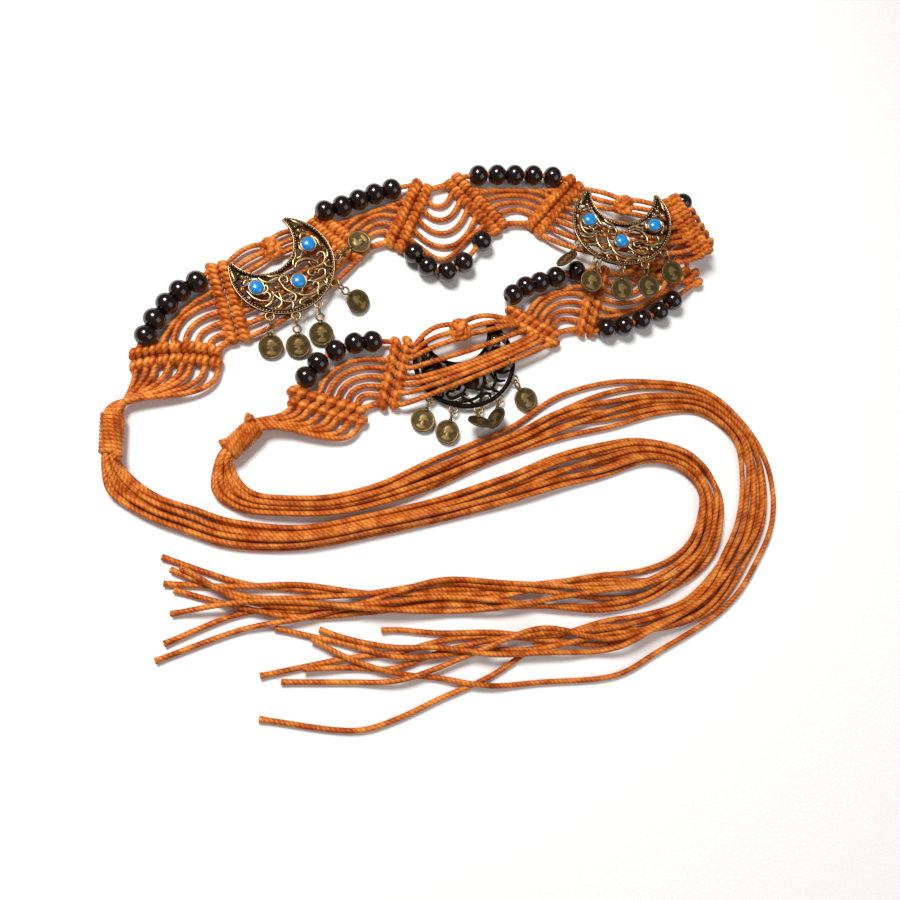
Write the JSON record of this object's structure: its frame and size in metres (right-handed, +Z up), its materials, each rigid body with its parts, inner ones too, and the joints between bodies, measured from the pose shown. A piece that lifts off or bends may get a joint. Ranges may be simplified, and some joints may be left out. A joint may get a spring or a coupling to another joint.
{
  "type": "beaded rope belt",
  "caption": "Knotted cord hip belt laid in a flattened loop: bars of knots, arches and swags of cord, strings of wooden beads, metal crescents with stones and hanging coins, long tie cords.",
  "frame": {"origin": "middle of the belt's laid-out outline, on the surface that it lies on", "axes": "+X along the longest way across the laid-out belt, +Y towards the side away from the ties' free ends, +Z up"},
  "size_m": [0.3105, 0.2634, 0.0196],
  "materials": {
    "cotton": "waxed braid",
    "wood": "polished",
    "bronze": "dark antique",
    "turquoise": "polished cabochon",
    "coin_brass": "dull antique"
  },
  "bodies": {
    "belt": {"section_01": "cotton", "section_02": "cotton", "section_03": "cotton", "section_04": "cotton", "section_05": "cotton", "section_06": "cotton", "section_07": "cotton", "section_08": "cotton", "section_09": "cotton", "section_10": "cotton", "section_11": "cotton", "section_12": "cotton", "tie_a": "cotton", "wrap_a": "cotton", "tie_b": "cotton", "wrap_b": "cotton", "beads_1": "wood", "beads_2": "wood", "beads_3": "wood", "beads_4": "wood", "beads_5": "wood", "beads_6": "wood", "beads_7": "wood", "beads_8": "wood", "crescent_1": "bronze", "stone_1_1": "turquoise", "stone_1_2": "turquoise", "stone_1_3": "turquoise", "crescent_2": "bronze", "stone_2_1": "turquoise", "stone_2_2": "turquoise", "stone_2_3": "turquoise", "crescent_3": "bronze", "stone_3_1": "turquoise", "stone_3_2": "turquoise", "stone_3_3": "turquoise"},
    "coin_1_1": {"coin_1_1": "coin_brass"},
    "coin_1_2": {"coin_1_2": "coin_brass"},
    "coin_1_3": {"coin_1_3": "coin_brass"},
    "coin_1_4": {"coin_1_4": "coin_brass"},
    "coin_1_5": {"coin_1_5": "coin_brass"},
    "coin_2_1": {"coin_2_1": "coin_brass"},
    "coin_2_2": {"coin_2_2": "coin_brass"},
    "coin_2_3": {"coin_2_3": "coin_brass"},
    "coin_2_4": {"coin_2_4": "coin_brass"},
    "coin_2_5": {"coin_2_5": "coin_brass"},
    "coin_3_1": {"coin_3_1": "coin_brass"},
    "coin_3_2": {"coin_3_2": "coin_brass"},
    "coin_3_3": {"coin_3_3": "coin_brass"},
    "coin_3_4": {"coin_3_4": "coin_brass"},
    "coin_3_5": {"coin_3_5": "coin_brass"}
  },
  "joints": [
    {"name": "coin_1_1_swing", "type": "hinge", "parent": "belt", "child": "coin_1_1", "pos_m": [-0.08825, 0.03881, 0.0067], "axis": [-0.9962, -0.0872, 0], "range_deg": [0, 90]},
    {"name": "coin_1_2_swing", "type": "hinge", "parent": "belt", "child": "coin_1_2", "pos_m": [-0.07673, 0.04013, 0.0067], "axis": [-0.9925, -0.1219, 0], "range_deg": [0, 90]},
    {"name": "coin_1_3_swing", "type": "hinge", "parent": "belt", "child": "coin_1_3", "pos_m": [-0.06692, 0.04665, 0.0067], "axis": [-0.9903, -0.1392, 0], "range_deg": [0, 90]},
    {"name": "coin_1_4_swing", "type": "hinge", "parent": "belt", "child": "coin_1_4", "pos_m": [-0.05871, 0.05844, 0.0067], "axis": [-0.5, -0.866, 0], "range_deg": [0, 90]},
    {"name": "coin_1_5_swing", "type": "hinge", "parent": "belt", "child": "coin_1_5", "pos_m": [-0.05853, 0.07368, 0.0067], "axis": [0.6428, -0.766, 0], "range_deg": [0, 90]},
    {"name": "coin_2_1_swing", "type": "hinge", "parent": "belt", "child": "coin_2_1", "pos_m": [0.05472, 0.08696, 0.01085], "axis": [-0.788, 0.6157, 0], "range_deg": [0, 90]},
    {"name": "coin_2_2_swing", "type": "hinge", "parent": "belt", "child": "coin_2_2", "pos_m": [0.06399, 0.07834, 0.01222], "axis": [-0.9659, 0.2588, 0], "range_deg": [0, 90]},
    {"name": "coin_2_3_swing", "type": "hinge", "parent": "belt", "child": "coin_2_3", "pos_m": [0.07601, 0.07476, 0.014], "axis": [-0.9994, -0.0349, 0], "range_deg": [0, 90]},
    {"name": "coin_2_4_swing", "type": "hinge", "parent": "belt", "child": "coin_2_4", "pos_m": [0.0879, 0.07671, 0.01579], "axis": [-0.9848, -0.1736, 0], "range_deg": [0, 90]},
    {"name": "coin_2_5_swing", "type": "hinge", "parent": "belt", "child": "coin_2_5", "pos_m": [0.09779, 0.08377, 0.01715], "axis": [-0.9135, -0.4067, 0], "range_deg": [0, 90]},
    {"name": "coin_3_1_swing", "type": "hinge", "parent": "belt", "child": "coin_3_1", "pos_m": [-0.01582, 0.00647, 0.003], "axis": [-0.9511, 0.309, 0], "range_deg": [0, 90]},
    {"name": "coin_3_2_swing", "type": "hinge", "parent": "belt", "child": "coin_3_2", "pos_m": [-0.00507, 0.00184, 0.003], "axis": [-0.9703, 0.2419, 0], "range_deg": [0, 90]},
    {"name": "coin_3_3_swing", "type": "hinge", "parent": "belt", "child": "coin_3_3", "pos_m": [0.00696, 0.00254, 0.003], "axis": [-0.9903, 0.1392, 0], "range_deg": [0, 90]},
    {"name": "coin_3_4_swing", "type": "hinge", "parent": "belt", "child": "coin_3_4", "pos_m": [0.01675, 0.00851, 0.003], "axis": [-0.9703, 0.2419, 0], "range_deg": [0, 90]},
    {"name": "coin_3_5_swing", "type": "hinge", "parent": "belt", "child": "coin_3_5", "pos_m": [0.02547, 0.01859, 0.003], "axis": [-0.848, -0.5299, 0], "range_deg": [0, 90]}
  ]
}
